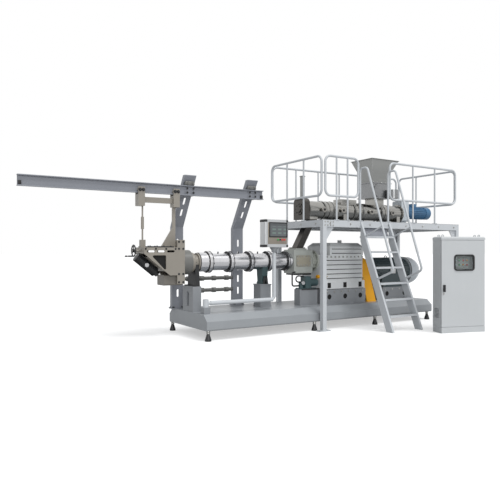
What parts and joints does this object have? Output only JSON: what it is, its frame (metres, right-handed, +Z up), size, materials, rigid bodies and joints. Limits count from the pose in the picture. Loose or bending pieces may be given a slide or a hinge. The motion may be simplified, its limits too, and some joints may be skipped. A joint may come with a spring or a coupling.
{
  "type": "food extruder",
  "caption": "Screw extruder for food on a grey skid with drive, die-face cutter on an overhead beam, feed platform with hopper and conditioner, and control cabinet.",
  "frame": {"origin": "underside of the front left levelling foot, on the floor", "axes": "+X along the screw from the die to the drive, +Y from the ladder side to the back, +Z up"},
  "size_m": [8.46, 3.1748, 3.22],
  "materials": {
    "skid_grey": "satin grey paint",
    "black_iron": "black iron",
    "column_grey": "satin grey paint",
    "black_paint": "black paint",
    "tool_steel": "turned steel",
    "barrel_steel": "polished stainless steel",
    "teal_paint": "teal paint",
    "pale_casting": "painted casting",
    "beige_paint": "beige-grey paint",
    "olive_paint": "olive-beige paint",
    "gearbox_grey": "grey paint",
    "guard_yellow": "yellow paint",
    "motor_slate": "dark slate paint",
    "cowl_grey": "grey paint",
    "pipe_dark": "dark pipe",
    "beam_grey": "blue-grey paint",
    "silver_paint": "silver-grey paint",
    "panel_aluminium": "anodised aluminium",
    "screen_glass": "dark screen",
    "deck_plate": "grey deck plate",
    "stainless": "brushed stainless steel",
    "chute_dark": "dark grey-brown",
    "blue_paint": "blue paint",
    "hopper_steel": "brushed steel",
    "cabinet_grey": "light grey powder coat",
    "black_plastic": "black plastic",
    "window_glass": "clear pane",
    "panel_beige": "beige plate"
  },
  "bodies": {
    "plant": {"base_frame": "skid_grey", "levelling_feet": "black_iron", "front_column": "column_grey", "die_bracket": "black_paint", "die_plate": "tool_steel", "die_adaptor": "beige_paint", "barrel_sections": "barrel_steel", "middle_pedestal": "column_grey", "barrel_saddle": "teal_paint", "feed_block": "barrel_steel", "feed_cover": "olive_paint", "gearbox_lantern": "pale_casting", "gearbox_pedestal": "column_grey", "gearbox_case": "gearbox_grey", "gearbox_cover": "gearbox_grey", "coupling_guard": "guard_yellow", "main_motor": "motor_slate", "motor_fan_cowl": "cowl_grey", "motor_pedestal": "column_grey", "oil_unit_stand": "column_grey", "oil_pump_unit": "teal_paint", "oil_pipe": "black_paint", "gantry_posts": "beam_grey", "gantry_beam": "beam_grey", "water_pipes": "pipe_dark", "panel_pivot": "column_grey", "platform_legs": "silver_paint", "platform_frame": "silver_paint", "platform_deck": "deck_plate", "front_railings": "silver_paint", "side_railings": "silver_paint", "back_railing": "silver_paint", "access_ladder": "silver_paint", "ladder_handrails": "silver_paint", "conditioner_shell": "stainless", "discharge_box": "chute_dark", "vent_stack": "hopper_steel", "discharge_chute": "chute_dark", "conditioner_gearbox": "cowl_grey", "conditioner_motor": "blue_paint", "feeder_housing": "hopper_steel", "feed_hopper": "hopper_steel", "cabinet_case": "cabinet_grey", "cabinet_roof": "cabinet_grey", "instrument_panel": "panel_beige"},
    "cutter": {"cutter_trolley": "beige_paint", "cutter_hangers": "beige_paint", "cutter_frame": "beige_paint", "cutter_motor": "black_paint", "cutter_gear_case": "beige_paint", "knife_hood": "pipe_dark", "knife_rotor": "tool_steel"},
    "handwheel": {"cutter_handwheel": "black_plastic"},
    "swing_arm": {"panel_arm": "silver_paint"},
    "operator_panel": {"panel_case": "panel_aluminium", "panel_screen": "screen_glass", "panel_key_strip": "panel_beige"},
    "door_leaf": {"cabinet_door": "cabinet_grey", "door_fittings": "black_plastic", "door_window": "window_glass"}
  },
  "joints": [
    {"name": "cutter_travel", "type": "slide", "parent": "plant", "child": "cutter", "axis": [-1, 0, 0], "range_m": [0, 1.5]},
    {"name": "handwheel_turn", "type": "hinge", "parent": "cutter", "child": "handwheel", "pos_m": [-0.948, 0.665, 1.39], "axis": [-1, 0, 0], "continuous": true},
    {"name": "arm_swing", "type": "hinge", "parent": "plant", "child": "swing_arm", "pos_m": [0.06, 0.2, 0.56], "axis": [0, 0, -1], "range_deg": [0, 85]},
    {"name": "panel_turn", "type": "hinge", "parent": "swing_arm", "child": "operator_panel", "pos_m": [1.365, 0.2, 1.405], "axis": [0, 0, 1], "range_deg": [-60, 60]},
    {"name": "cabinet_door_hinge", "type": "hinge", "parent": "plant", "child": "door_leaf", "pos_m": [4.4677, -1.63631, 0.8], "axis": [0, 0, 1], "range_deg": [0, 120]}
  ]
}
